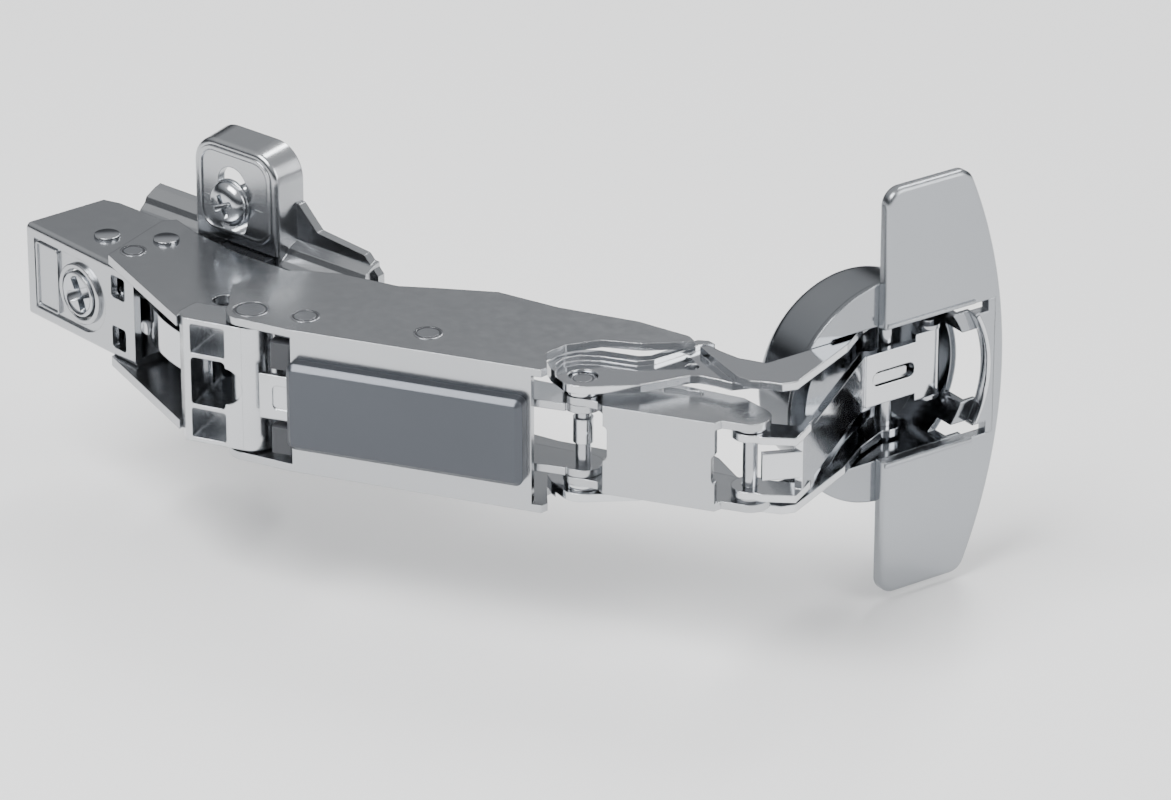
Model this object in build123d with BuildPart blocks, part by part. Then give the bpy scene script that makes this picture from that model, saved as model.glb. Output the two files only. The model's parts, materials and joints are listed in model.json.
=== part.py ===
from build123d import *
import math
import os

os.makedirs("parts", exist_ok=True)

# Wide-angle concealed cabinet hinge, stored fully open at 165 degrees.
# Origin: on the side panel, midway between the two screws of the mounting plate.
# +X towards the cabinet front, +Y into the panel, +Z up. The hinge is level about Z = 0.

# System sizes
SCREW_PITCH = 32.0
CUP_DIA = 35.0
OPEN_ANGLE = 165.0

# Pivot plan: each link starts at a pivot and has its own length and direction at rest
P1 = (26.3, -29.8)
HOUSING_LEN = 57.1
HOUSING_DIR = 19.86
BRIDGE_LEN = 27.98
BRIDGE_DIR = 20.5
CUP_FROM_P4 = (26.196, 44.102)
P6_ALONG = 5.0
P6_DEPTH = 6.6
P7_FROM_RIM = 4.7
P7_ALONG = CUP_DIA / 2 - P7_FROM_RIM
P7_DEPTH = 5.5

# Clearances
RUN = 0.04
SIDE = 0.1
SLIDE = 0.12

# Sheet thicknesses
BOX_T = 1.4
ARM_T = 1.7
HOUSING_T = 1.3
BRIDGE_T = 1.3
OUTER_T = 1.4
INNER_T = 1.3
PLATE_T = 1.5

# Half heights of the nested channels, from the box out to the housing
BOX_H = 8.4
ARM_H = BOX_H + ARM_T
BLOCK_H = 10.9
HOUSING_H = 12.6
OUTER_H = 10.2
BRIDGE_H = 7.7
INNER_H = 5.65
BRACKET_H = BRIDGE_H - BRIDGE_T - SIDE
BRACKET_T = 1.3

# Pins and rivets
MAIN_PIN_R = 2.4
RIVET_R = 2.1
ARM_RIVET_R = 1.9
P4_PIN_R = 1.25
P4_ROLLER_R = 1.65
P5_PIN_R = 1.2
P6_PIN_R = 1.4
P7_PIN_R = 1.3

# Mounting plate
WING_W = 18.6
WING_REACH = 26.2
WING_RISE = 6.0
WING_SHIFT = 0.6
SLOT_W = 6.4
SLOT_LEN = 12.4
RAIL_LEFT = -22.5
RAIL_RIGHT = 28.3
RAIL_RISE = 5.6
RAIL_HALF = 9.6
TAIL_HALF = 13.2
TEE_OPEN = 3.1
TEE_HALF = 4.9
TEE_LIP = 1.2
TEE_DEPTH = 3.6

# Screws
SCREW_HEAD_R = 4.15
SCREW_HEAD_T = 2.6
SCREW_SHANK_R = 2.5
SCREW_NECK_R = 2.1
SCREW_LEN = 13.0

# Depth adjuster: an eccentric turned from the front of the box
CAM_ALONG = 13.9
CAM_HEAD_R = 4.0
CAM_SHANK_R = 2.0
CAM_ECC = 1.5
CAM_TIP_R = 1.5
BADGE_DEPTH = 0.5

# Front block of the arm
BLOCK_START = (17.6, -36.6)
BLOCK_DIR = 17.0
COLUMN_R = 3.9
WINDOW_LOW = 4.9
WINDOW_HIGH = 10.1
OPEN_HALF = 4.2

# Damper unit in the housing
WEB_Y = -5.15
WEB_START = 8.9
WEB_END = 50.2
COVER_RISE = 2.7
COVER_HALF = 7.6
COVER_END = 49.4
BUFFER_START = 5.2
TAB_START = 3.2
TAB_HALF = 3.9

# Cup
CUP_DEPTH = 11.7
CUP_WALL = 1.1
FLANGE_R = 19.4
FLANGE_T = 0.9
POCKET_HALF = 12.0
NOTCH_MID = 10.85
NOTCH_W = 2.1
COVER_T = 1.9
COVER_REACH = 36.0
COVER_LEFT = -5.3


def polar(start, length, direction):
    a = math.radians(direction)
    return (start[0] + length * math.cos(a), start[1] + length * math.sin(a))


def link_plane(pivot, direction, height=0.0):
    a = math.radians(direction)
    return Plane(
        origin=(pivot[0], pivot[1], height),
        x_dir=(math.cos(a), math.sin(a), 0),
        z_dir=(0, 0, 1),
    )


def face_plane(start, direction, out=0.0):
    # upright plane along a plan line: local x runs along it, local y is up, +z faces the viewer
    a = math.radians(direction)
    return Plane(
        origin=(start[0] + out * math.sin(a), start[1] - out * math.cos(a), 0),
        x_dir=(math.cos(a), math.sin(a), 0),
        z_dir=(math.sin(a), -math.cos(a), 0),
    )


def between(a, b):
    return math.hypot(b[0] - a[0], b[1] - a[1])


def heading(a, b):
    return math.degrees(math.atan2(b[1] - a[1], b[0] - a[0]))


def along_door(along, depth):
    t = math.radians(OPEN_ANGLE)
    u = (math.sin(t), -math.cos(t))
    n = (-math.cos(t), -math.sin(t))
    return (
        CUP_CENTRE[0] + along * u[0] - depth * n[0],
        CUP_CENTRE[1] + along * u[1] - depth * n[1],
    )


P4 = polar(P1, HOUSING_LEN, HOUSING_DIR)
CUP_CENTRE = (P4[0] + CUP_FROM_P4[0], P4[1] + CUP_FROM_P4[1])
P5 = polar(P4, BRIDGE_LEN, BRIDGE_DIR)
P6 = along_door(P6_ALONG, P6_DEPTH)
P7 = along_door(P7_ALONG, P7_DEPTH)
OUTER_LEN = between(P4, P6)
OUTER_DIR = heading(P4, P6)
INNER_LEN = between(P5, P7)
INNER_DIR = heading(P5, P7)
DOOR_A = math.radians(OPEN_ANGLE)
DOOR_U = (math.sin(DOOR_A), -math.cos(DOOR_A), 0)
DOOR_N = (-math.cos(DOOR_A), -math.sin(DOOR_A), 0)


def cup_plane(out=0.0):
    # local x along the door, local y up, +z out of the door's inner face
    return Plane(
        origin=(CUP_CENTRE[0] + out * DOOR_N[0], CUP_CENTRE[1] + out * DOOR_N[1], 0),
        x_dir=DOOR_U,
        z_dir=DOOR_N,
    )


def pin(pivot, radius, half):
    with BuildSketch(Plane.XY.offset(-half)) as disc:
        with Locations(pivot):
            Circle(radius)
    extrude(disc.sketch, amount=2 * half)


def bore(pivot, radius, half=30.0):
    with BuildSketch(Plane.XY.offset(-half)) as disc:
        with Locations(pivot):
            Circle(radius)
    extrude(disc.sketch, amount=2 * half, mode=Mode.SUBTRACT)


# Mounting plate: cross-shaped, two drawn wings, a rail for the arm and a flat tail
with BuildPart() as mounting_plate:
    with BuildSketch(Plane.XZ):
        with Locations((WING_SHIFT, 0)):
            RectangleRounded(WING_W + 1.2, 2 * WING_REACH + 1.2, 5.5)
    extrude(amount=WING_RISE, taper=6)
    wing_face = mounting_plate.faces().sort_by(Axis.Y)[0]
    fillet(wing_face.edges(), 0.9)
    with BuildSketch(Plane.XZ):
        with BuildLine():
            Polyline(
                (WING_SHIFT, TAIL_HALF + 4),
                (WING_SHIFT + WING_W / 2 + 1, TAIL_HALF + 4),
                (WING_SHIFT + WING_W / 2 + 5, TAIL_HALF),
                (RAIL_RIGHT - 3, TAIL_HALF - 1),
                (RAIL_RIGHT, TAIL_HALF - 4),
                (RAIL_RIGHT, 0),
                (WING_SHIFT, 0),
                close=True,
            )
        make_face()
        mirror(about=Plane.XZ)
    extrude(amount=PLATE_T)
    with BuildSketch(Plane.YZ.offset(RAIL_LEFT)):
        with BuildLine():
            Polyline(
                (0, RAIL_HALF + 1.5),
                (-1.3, RAIL_HALF + 1.2),
                (-3.4, RAIL_HALF + 0.2),
                (-3.9, RAIL_HALF - 0.8),
                (-4.9, RAIL_HALF - 1.6),
                (-RAIL_RISE, RAIL_HALF - 2.6),
                (-RAIL_RISE, 0),
                (0, 0),
                close=True,
            )
        make_face()
        mirror(about=Plane.XZ)
    extrude(amount=RAIL_RIGHT - 1.0 - RAIL_LEFT)
    with BuildSketch(Plane.XZ.offset(RAIL_RISE)):
        Rectangle(60, 2 * (RAIL_HALF - 0.9))
    extrude(amount=3, mode=Mode.SUBTRACT)
    # hollow behind each wing
    with BuildSketch(Plane.XZ):
        with Locations((WING_SHIFT, 18.6), (WING_SHIFT, -18.6)):
            RectangleRounded(WING_W - 2.6, 12.2, 3.5)
    extrude(amount=WING_RISE - PLATE_T, mode=Mode.SUBTRACT)
    # upright slots for the height setting
    with BuildSketch(Plane.XZ):
        with Locations((0, SCREW_PITCH / 2), (0, -SCREW_PITCH / 2)):
            SlotOverall(SLOT_LEN, SLOT_W, rotation=90)
    extrude(amount=WING_RISE, mode=Mode.SUBTRACT)
    # tee slot that the arm's foot slides in, and the upright slot of the eccentric
    with BuildSketch(Plane.YZ.offset(RAIL_LEFT)):
        with BuildLine():
            Polyline(
                (-RAIL_RISE, -TEE_OPEN),
                (-RAIL_RISE, TEE_OPEN),
                (-RAIL_RISE + TEE_LIP, TEE_OPEN),
                (-RAIL_RISE + TEE_LIP, TEE_HALF),
                (-RAIL_RISE + TEE_DEPTH, TEE_HALF),
                (-RAIL_RISE + TEE_DEPTH, -TEE_HALF),
                (-RAIL_RISE + TEE_LIP, -TEE_HALF),
                (-RAIL_RISE + TEE_LIP, -TEE_OPEN),
                close=True,
            )
        make_face()
    extrude(amount=RAIL_RIGHT - RAIL_LEFT, mode=Mode.SUBTRACT)

mounting_plate.part.label = "mounting_plate"
export_step(mounting_plate.part, "parts/mounting_plate.step")


def plate_screw(height, name):
    with BuildPart() as screw:
        with BuildSketch(Plane.XZ.offset(WING_RISE)):
            with Locations((0, height)):
                Circle(SCREW_HEAD_R)
        extrude(amount=SCREW_HEAD_T)
        rim = screw.faces().sort_by(Axis.Y)[0]
        fillet(rim.edges(), 1.7)
        with BuildSketch(Plane.XZ.offset(-SCREW_LEN + WING_RISE)):
            with Locations((0, height)):
                Circle(SCREW_SHANK_R)
        extrude(amount=SCREW_LEN - WING_RISE - 0.3)
        with BuildSketch(Plane.XZ.offset(-0.5)):
            with Locations((0, height)):
                Circle(SCREW_NECK_R)
        extrude(amount=WING_RISE + 0.5)
        with BuildSketch(Plane.XZ.offset(WING_RISE + SCREW_HEAD_T)):
            with Locations(Location((0, height), 20)):
                Rectangle(4.2, 0.9)
                Rectangle(0.9, 4.2)
        extrude(amount=-1.5, mode=Mode.SUBTRACT)
    screw.part.label = name
    export_step(screw.part, "parts/" + name + ".step")


plate_screw(SCREW_PITCH / 2, "plate_screw_upper")
plate_screw(-SCREW_PITCH / 2, "plate_screw_lower")

# Adjuster box: a bent channel, its web towards the front with the badge recess
BOX_START = (-32.4, -22.1)
BOX_DIR = -7.7
BOX_LEN = 28.6
CAM_AXIS_START = polar(BOX_START, CAM_ALONG, BOX_DIR)


def box_spot(x, y):
    return polar(polar(BOX_START, x, BOX_DIR), y, BOX_DIR + 90)


R1 = box_spot(CAM_ALONG - 0.46, 6.56)
R2 = box_spot(BOX_LEN - 4.3, 10.55)
R3 = box_spot(BOX_LEN - 4.6, 3.85)

# Follower: a plate pressed into the rail, its upright slot holds the eccentric
FOLLOWER_X0 = -20.0
FOLLOWER_X1 = -12.0
CAM_REACH = 21.3
with BuildPart() as cam_follower:
    with BuildSketch(Plane.XZ.offset(RAIL_RISE - TEE_DEPTH)):
        with Locations(((FOLLOWER_X0 + FOLLOWER_X1) / 2, 0)):
            Rectangle(FOLLOWER_X1 - FOLLOWER_X0, 2 * TEE_HALF)
    extrude(amount=TEE_DEPTH - TEE_LIP)
    with BuildSketch(face_plane(CAM_AXIS_START, BOX_DIR)):
        with Locations((0, -0.75 * CAM_ECC)):
            SlotOverall(2 * CAM_TIP_R + 0.5 * CAM_ECC + 0.5, 2 * (CAM_TIP_R + 0.15), rotation=90)
    extrude(amount=-30, mode=Mode.SUBTRACT)

cam_follower.part.label = "cam_follower"
export_step(cam_follower.part, "parts/cam_follower.step")

with BuildPart() as adjuster_box:
    with BuildSketch(link_plane(BOX_START, BOX_DIR, -BOX_H)) as box_plan:
        with BuildLine():
            Polyline(
                (0, 0),
                (BOX_LEN, 0),
                (BOX_LEN, 15.2),
                (BOX_LEN - 5.5, 18.6),
                (4.0, 16.7),
                (1.0, 15.6),
                close=True,
            )
        make_face()
    extrude(amount=2 * BOX_H)
    bend_edges = adjuster_box.edges().filter_by(
        lambda e: abs((e @ 0).Z - (e @ 1).Z) < 0.01
        and between(((e @ 0.5).X, (e @ 0.5).Y), polar(BOX_START, BOX_LEN / 2, BOX_DIR)) < 0.1
    )
    fillet(bend_edges, 0.9)
    with BuildSketch(link_plane(BOX_START, BOX_DIR, -BOX_H + BOX_T)):
        with Locations((BOX_LEN / 2, BOX_T + 15)):
            Rectangle(BOX_LEN + 20, 30)
    extrude(amount=2 * (BOX_H - BOX_T), mode=Mode.SUBTRACT)
    # badge recess with a rounded end round the cam
    with BuildSketch(face_plane(BOX_START, BOX_DIR)):
        with BuildLine():
            l1 = Line((1.8, 6.4), (CAM_ALONG + 1.5, 6.4))
            a1 = ThreePointArc(l1 @ 1, (CAM_ALONG + 7.0, 0), (CAM_ALONG + 1.5, -6.4))
            Polyline(a1 @ 1, (1.8, -6.4), l1 @ 0)
        make_face()
    extrude(amount=-BADGE_DEPTH, mode=Mode.SUBTRACT)
    with BuildSketch(face_plane(BOX_START, BOX_DIR)):
        with Locations((BOX_LEN - 4.2, 4.6), (BOX_LEN - 4.2, -4.6)):
            RectangleRounded(3.7, 4.0, 0.6)
        with Locations((CAM_ALONG, 0)):
            Circle(CAM_HEAD_R + 0.35)
    extrude(amount=-BOX_T, mode=Mode.SUBTRACT)
    for spot in (R1, R2, R3):
        bore(spot, ARM_RIVET_R)

adjuster_box.part.label = "adjuster_box"
export_step(adjuster_box.part, "parts/adjuster_box.step")

# Arm foot: the block between the arm's legs that slides in the rail
FOOT_X0 = -1.5
FOOT_X1 = 9.0
with BuildPart() as arm_foot:
    with BuildSketch(Plane.XZ.offset(RAIL_RISE + SLIDE)):
        with Locations(((FOOT_X0 + FOOT_X1) / 2, 0)):
            Rectangle(FOOT_X1 - FOOT_X0, 2 * (ARM_H - ARM_T))
    extrude(amount=8.4)
    with BuildSketch(Plane.XZ.offset(RAIL_RISE - TEE_DEPTH + SLIDE)):
        with Locations(((FOOT_X0 + FOOT_X1) / 2, 0)):
            Rectangle(FOOT_X1 - FOOT_X0, 2 * (TEE_OPEN - SLIDE))
    extrude(amount=TEE_DEPTH + 1)
    with BuildSketch(Plane.XZ.offset(RAIL_RISE - TEE_DEPTH + SLIDE)):
        with Locations(((FOOT_X0 + FOOT_X1) / 2, 0)):
            Rectangle(FOOT_X1 - FOOT_X0, 2 * (TEE_HALF - SLIDE))
    extrude(amount=TEE_DEPTH - TEE_LIP - 2 * SLIDE)

arm_foot.part.label = "arm_foot"
export_step(arm_foot.part, "parts/arm_foot.step")

# Cam bracket: an inner channel riveted to the box, the cam turns in its web
with BuildPart() as cam_bracket:
    with BuildSketch(face_plane(CAM_AXIS_START, BOX_DIR, -10.0)):
        Rectangle(10.0, 2 * (BOX_H - BOX_T))
    extrude(amount=5.4)
    with BuildSketch(face_plane(CAM_AXIS_START, BOX_DIR, -8.8)):
        Rectangle(11.0, 2 * (BOX_H - BOX_T - 1.2))
    extrude(amount=8, mode=Mode.SUBTRACT)
    with BuildSketch(face_plane(CAM_AXIS_START, BOX_DIR)):
        Circle(CAM_SHANK_R + RUN)
    extrude(amount=-12, mode=Mode.SUBTRACT)
    bore(R1, ARM_RIVET_R)

cam_bracket.part.label = "cam_bracket"
export_step(cam_bracket.part, "parts/cam_bracket.step")

# Depth cam: cross-slotted head in the badge recess, eccentric tip in the rail's slot
with BuildPart() as depth_cam:
    with BuildSketch(face_plane(CAM_AXIS_START, BOX_DIR, 0.5)):
        Circle(CAM_HEAD_R)
    extrude(amount=-4.2)
    head_rim = depth_cam.faces().sort_by(Axis.Y)[0]
    fillet(head_rim.edges(), 0.6)
    with BuildSketch(face_plane(CAM_AXIS_START, BOX_DIR, -3.0)):
        Circle(CAM_SHANK_R)
    extrude(amount=-(CAM_REACH - 6.4))
    with BuildSketch(face_plane(CAM_AXIS_START, BOX_DIR, -(CAM_REACH - 3.6))):
        with Locations((0, -CAM_ECC)):
            Circle(CAM_TIP_R)
    extrude(amount=-3.6)
    with BuildSketch(face_plane(CAM_AXIS_START, BOX_DIR, 0.5)):
        with Locations(Location((0, 0), 25)):
            Rectangle(6.4, 1.3)
            Rectangle(1.3, 6.4)
        Circle(1.4)
    extrude(amount=-2.2, mode=Mode.SUBTRACT)

depth_cam.part.label = "depth_cam"
export_step(depth_cam.part, "parts/depth_cam.step")

# Badge: a bare raised plate beside the cam
with BuildPart() as badge_plate:
    with BuildSketch(face_plane(BOX_START, BOX_DIR, -BADGE_DEPTH)):
        with Locations((5.2, 0)):
            RectangleRounded(5.6, 11.2, 0.5)
    extrude(amount=0.2)

badge_plate.part.label = "badge_plate"
export_step(badge_plate.part, "parts/badge_plate.step")

# Hinge arm: two slanting legs outside the box, up to the front block
with BuildPart() as hinge_arm:
    with BuildSketch(Plane.XY.offset(ARM_H - ARM_T)):
        with BuildLine():
            Polyline(
                (-10.2, -25.3),
                (15.2, -35.7),
                (14.2, -30.2),
                (20.6, -27.4),
                (27.0, -24.9),
                (28.4, -21.0),
                (23.0, -13.2),
                (17.0, -10.7),
                (6.0, -11.0),
                (-4.9, -9.6),
                (-11.5, -7.6),
                (-13.0, -9.6),
                close=True,
            )
        make_face()
        with Locations((17.0, -26.0)):
            Circle(2.1, mode=Mode.SUBTRACT)
    extrude(amount=ARM_T)
    corners = hinge_arm.edges().filter_by(Axis.Z)
    fillet(corners.sort_by(Axis.X)[-3:], 1.5)
    # inner plate that ties the legs together behind the block
    with BuildSketch(Plane.XY):
        with BuildLine():
            Polyline(
                (9.5, -12.2), (21.5, -14.4), (26.0, -20.4), (24.8, -21.2), (20.7, -15.6), (9.3, -13.6), close=True
            )
        make_face()
    extrude(amount=ARM_H - ARM_T)
    mirror(about=Plane.XY)
    for spot in (R2, R3):
        bore(spot, ARM_RIVET_R)

hinge_arm.part.label = "hinge_arm"
export_step(hinge_arm.part, "parts/hinge_arm.step")

# Rivets of the arm: two raised, one flush, each through the box and the legs
def rivet(name, spot, radius, half, head_r, head_t):
    with BuildPart() as one:
        pin(spot, radius, half)
        with BuildSketch(Plane.XY.offset(half)):
            with Locations(spot):
                Circle(head_r)
        extrude(amount=head_t)
        if head_t > 0.3:
            fillet(one.faces().sort_by(Axis.Z)[-1].edges(), 0.15)
        mirror(about=Plane.XY)
    one.part.label = name
    export_step(one.part, "parts/" + name + ".step")


def short_rivet(name, spot, radius, low, high, head_r, head_t, side):
    with BuildPart() as one:
        with BuildSketch(Plane.XY.offset(side * low)) as shank:
            with Locations(spot):
                Circle(radius)
        extrude(shank.sketch, amount=side * (high - low))
        with BuildSketch(Plane.XY.offset(side * high)) as head:
            with Locations(spot):
                Circle(head_r)
        extrude(head.sketch, amount=side * head_t)
    one.part.label = name
    export_step(one.part, "parts/" + name + ".step")


# Spring lever: a curved leaf from the flush rivet into the front block
with BuildPart() as spring_lever:
    with BuildSketch(Plane.XY.offset(-3.3)):
        with BuildLine():
            s = Line((-6.8, -22.6), (-3.2, -23.4))
            o = ThreePointArc(s @ 1, (6.0, -28.2), (17.6, -30.2))
            i = ThreePointArc((17.4, -29.2), (6.2, -27.2), (-2.9, -22.7))
            Line(o @ 1, i @ 0)
            Polyline(i @ 1, (-6.4, -21.9), s @ 0)
        make_face()
        with Locations(R3):
            Circle(ARM_RIVET_R + 0.6)
    extrude(amount=6.6)
    bore(R3, ARM_RIVET_R)

spring_lever.part.label = "spring_lever"
export_step(spring_lever.part, "parts/spring_lever.step")


# Front block: die-cast, a ladder of windows between its left cheek and the round column
def block_point(x, y):
    a = math.radians(BLOCK_DIR)
    return (
        BLOCK_START[0] + x * math.cos(a) - y * math.sin(a),
        BLOCK_START[1] + x * math.sin(a) + y * math.cos(a),
    )


with BuildPart() as front_block:
    with BuildSketch(Plane.XY.offset(-BLOCK_H)):
        with BuildLine():
            Polyline(
                block_point(0, 0),
                block_point(10.3, 0),
                block_point(10.3, 6.4),
                block_point(-0.8, 6.4),
                block_point(-1.8, 2.2),
                close=True,
            )
        make_face()
        with Locations(P1):
            Circle(COLUMN_R)
    extrude(amount=2 * BLOCK_H)
    # lug between the legs
    with BuildSketch(Plane.XY.offset(-(ARM_H - ARM_T))):
        with BuildLine():
            Polyline(
                block_point(-0.9, 6.0),
                block_point(11.0, 6.0),
                block_point(9.5, 11.5),
                block_point(5.0, 12.5),
                block_point(1.0, 11.0),
                close=True,
            )
        make_face()
    extrude(amount=2 * (ARM_H - ARM_T))
    # windows that take the buffers and the damper's tab when the hinge closes
    with BuildSketch(face_plane(BLOCK_START, BLOCK_DIR)):
        for side in (1, -1):
            with Locations((4.2, side * (WINDOW_LOW + WINDOW_HIGH) / 2)):
                RectangleRounded(6.2, WINDOW_HIGH - WINDOW_LOW, 0.5)
    extrude(amount=-5.0, mode=Mode.SUBTRACT)
    with BuildSketch(face_plane(BLOCK_START, BLOCK_DIR)):
        with Locations((4.2, 0)):
            RectangleRounded(6.2, 2 * OPEN_HALF, 0.8)
        with Locations((7.0, 0)):
            Circle(3.2)
    extrude(amount=-14.0, mode=Mode.SUBTRACT)
    with BuildSketch(Plane.XY.offset(-BLOCK_H)):
        with Locations(P1):
            Circle(COLUMN_R - 0.5)
    extrude(amount=2 * BLOCK_H)
    bore(P1, MAIN_PIN_R)
    # seat of the spring lever's tip
    add(spring_lever.part, mode=Mode.SUBTRACT)

front_block.part.label = "front_block"
export_step(front_block.part, "parts/front_block.step")

with BuildPart() as main_pin:
    pin(P1, MAIN_PIN_R, HOUSING_H)
    with BuildSketch(Plane.XY.offset(HOUSING_H - 0.5)):
        with Locations(P1):
            Circle(MAIN_PIN_R + 0.5)
    extrude(amount=0.5)
    mirror(about=Plane.XY)

main_pin.part.label = "main_pin"
export_step(main_pin.part, "parts/main_pin.step")

# Housing: a deep channel open at the back, its web behind the damper
HOUSING = link_plane(P1, HOUSING_DIR)


def housing_at(height):
    return link_plane(P1, HOUSING_DIR, height)


def housing_spot(x, y):
    return polar(polar(P1, x, HOUSING_DIR), y, HOUSING_DIR + 90)


P2 = housing_spot(9.2, 0.6)
P3 = housing_spot(30.1, 1.5)
EAR_R = 4.1
with BuildPart() as housing:
    with BuildSketch(housing_at(HOUSING_H - HOUSING_T)) as housing_plan:
        with BuildLine():
            ear = ThreePointArc((-EAR_R, 0.4), (-EAR_R * 0.707, -EAR_R * 0.707), (0.2, -EAR_R))
            Polyline(
                ear @ 1,
                (WEB_START - 0.4, WEB_Y),
                (HOUSING_LEN - 5.2, WEB_Y),
                (HOUSING_LEN - 4.6, WEB_Y + 1.2),
                (HOUSING_LEN - 6.6, 1.0),
                (HOUSING_LEN - 4.8, 5.0),
                (HOUSING_LEN, 8.8),
                (HOUSING_LEN + 6.5, 9.8),
                (HOUSING_LEN + 14.0, 13.4),
                (HOUSING_LEN + 12.5, 15.0),
                (HOUSING_LEN + 3.0, 17.4),
                (HOUSING_LEN - 11.0, 18.0),
                (HOUSING_LEN - 22.2, 20.2),
                (HOUSING_LEN - 31.9, 18.2),
                (18.8, 16.7),
                (8.6, 17.9),
                (1.1, 16.8),
                (-3.6, 13.6),
                (-6.6, 7.6),
                (-4.9, 2.4),
                ear @ 0,
            )
        make_face()
    extrude(amount=HOUSING_T)
    uprights = housing.edges().filter_by(Axis.Z)
    fillet(uprights.group_by(Axis.Y)[-1], 2.0)
    mirror(about=Plane.XY)
    with BuildSketch(housing_at(-HOUSING_H)):
        with Locations(((WEB_START + WEB_END) / 2, WEB_Y + HOUSING_T / 2)):
            Rectangle(WEB_END - WEB_START, HOUSING_T)
    extrude(amount=2 * HOUSING_H)
    bore(P1, MAIN_PIN_R + RUN)
    with BuildSketch(Plane.XY.offset(HOUSING_H - 0.5 - RUN)):
        with Locations(P1):
            Circle(MAIN_PIN_R + 0.5 + RUN)
    extrude(amount=1, mode=Mode.SUBTRACT)
    with BuildSketch(Plane.XY.offset(-(HOUSING_H - 0.5 - RUN))):
        with Locations(P1):
            Circle(MAIN_PIN_R + 0.5 + RUN)
    extrude(amount=-1, mode=Mode.SUBTRACT)
    for spot in (P2, P3):
        bore(spot, RIVET_R)

housing.part.label = "housing"
export_step(housing.part, "parts/housing.step")

# Inner bracket: riveted in the housing, its ears carry the pin at P4
with BuildPart() as inner_bracket:
    with BuildSketch(housing_at(BRACKET_H - BRACKET_T)):
        with BuildLine():
            Polyline(
                (9.6, -3.4),
                (HOUSING_LEN - 13, -3.4),
                (HOUSING_LEN - 2, -3.0),
                (HOUSING_LEN, 3.0),
                (HOUSING_LEN - 9, 3.6),
                (HOUSING_LEN - 20, 5.6),
                (6.6, 4.6),
                (6.6, -2.2),
                (9.6, -2.2),
                close=True,
            )
        make_face()
        with Locations((HOUSING_LEN, 0)):
            Circle(3.2)
    extrude(amount=BRACKET_T)
    mirror(about=Plane.XY)
    with BuildSketch(housing_at(-BRACKET_H)):
        with Locations((31.0, WEB_Y + HOUSING_T + 0.65)):
            Rectangle(24.0, 1.3)
    extrude(amount=2 * BRACKET_H)
    bore(P4, P4_PIN_R)
    for spot in (P2, P3):
        bore(spot, RIVET_R)

inner_bracket.part.label = "inner_bracket"
export_step(inner_bracket.part, "parts/inner_bracket.step")

# Damper case, cover, tab and buffers
CASE_X0 = 11.8
CASE_X1 = 27.6
CASE_LOW = WEB_Y + HOUSING_T + BRACKET_T
CASE_HIGH = 3.9
with BuildPart() as damper_case:
    with BuildSketch(housing_at(-(BRACKET_H - BRACKET_T))):
        with Locations(((CASE_X0 + CASE_X1) / 2, (CASE_LOW + CASE_HIGH) / 2)):
            Rectangle(CASE_X1 - CASE_X0, CASE_HIGH - CASE_LOW)
    extrude(amount=2 * (BRACKET_H - BRACKET_T))

damper_case.part.label = "damper_case"
export_step(damper_case.part, "parts/damper_case.step")

with BuildPart() as damper_cover:
    with BuildSketch(face_plane(polar(P1, 0, 0), HOUSING_DIR, -WEB_Y)):
        with Locations(((WEB_START + COVER_END) / 2, 0)):
            RectangleRounded(COVER_END - WEB_START, 2 * COVER_HALF, 1.3)
    extrude(amount=COVER_RISE)
    outward = Vector(math.sin(math.radians(HOUSING_DIR)), -math.cos(math.radians(HOUSING_DIR)), 0)
    rim_face = damper_cover.faces().sort_by(lambda f: f.center().dot(outward))[-1]
    chamfer(rim_face.edges(), 0.9)

damper_cover.part.label = "damper_cover"
export_step(damper_cover.part, "parts/damper_cover.step")

with BuildPart() as damper_tab:
    with BuildSketch(housing_at(-TAB_HALF)):
        with BuildLine():
            Polyline(
                (TAB_START, WEB_Y + 0.3),
                (WEB_START - 0.1, WEB_Y + 0.3),
                (WEB_START - 0.1, WEB_Y + 2.0),
                (CASE_X0, WEB_Y + 2.0),
                (CASE_X0, WEB_Y + 3.0),
                (WEB_START - 1.2, WEB_Y + 3.0),
                (WEB_START - 1.2, WEB_Y + 1.3),
                (TAB_START, WEB_Y + 1.3),
                close=True,
            )
        make_face()
    extrude(amount=2 * TAB_HALF)
    with BuildSketch(face_plane(P1, HOUSING_DIR, -(WEB_Y + 0.3))):
        with Locations((7.4, 0)):
            RectangleRounded(3.8, 4.2, 0.8)
    extrude(amount=-0.25, mode=Mode.SUBTRACT)

damper_tab.part.label = "damper_tab"
export_step(damper_tab.part, "parts/damper_tab.step")


def buffer_block(side, name):
    with BuildPart() as block:
        low = WINDOW_LOW + 0.3 if side > 0 else -WINDOW_HIGH + 0.3
        with BuildSketch(housing_at(low)):
            with Locations(((BUFFER_START + WEB_START) / 2, -3.75)):
                Rectangle(WEB_START - BUFFER_START, 2.6)
        extrude(amount=WINDOW_HIGH - WINDOW_LOW - 0.6)
        fillet(block.edges().filter_by(Axis.Z), 0.5)
    block.part.label = name
    export_step(block.part, "parts/" + name + ".step")


buffer_block(1, "buffer_upper")
buffer_block(-1, "buffer_lower")

short_rivet("arm_rivet_rear_upper", R1, ARM_RIVET_R, BOX_H - BOX_T - 1.2, BOX_H, 2.2, 0.5, 1)
short_rivet("arm_rivet_rear_lower", R1, ARM_RIVET_R, BOX_H - BOX_T - 1.2, BOX_H, 2.2, 0.5, -1)
rivet("arm_rivet_middle", R2, ARM_RIVET_R, ARM_H, 2.2, 0.5)
rivet("arm_rivet_front", R3, ARM_RIVET_R, ARM_H, ARM_RIVET_R, 0.05)
rivet("housing_rivet_near", P2, RIVET_R, HOUSING_H, RIVET_R, 0.05)
rivet("housing_rivet_far", P3, RIVET_R, HOUSING_H, RIVET_R, 0.05)

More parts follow.
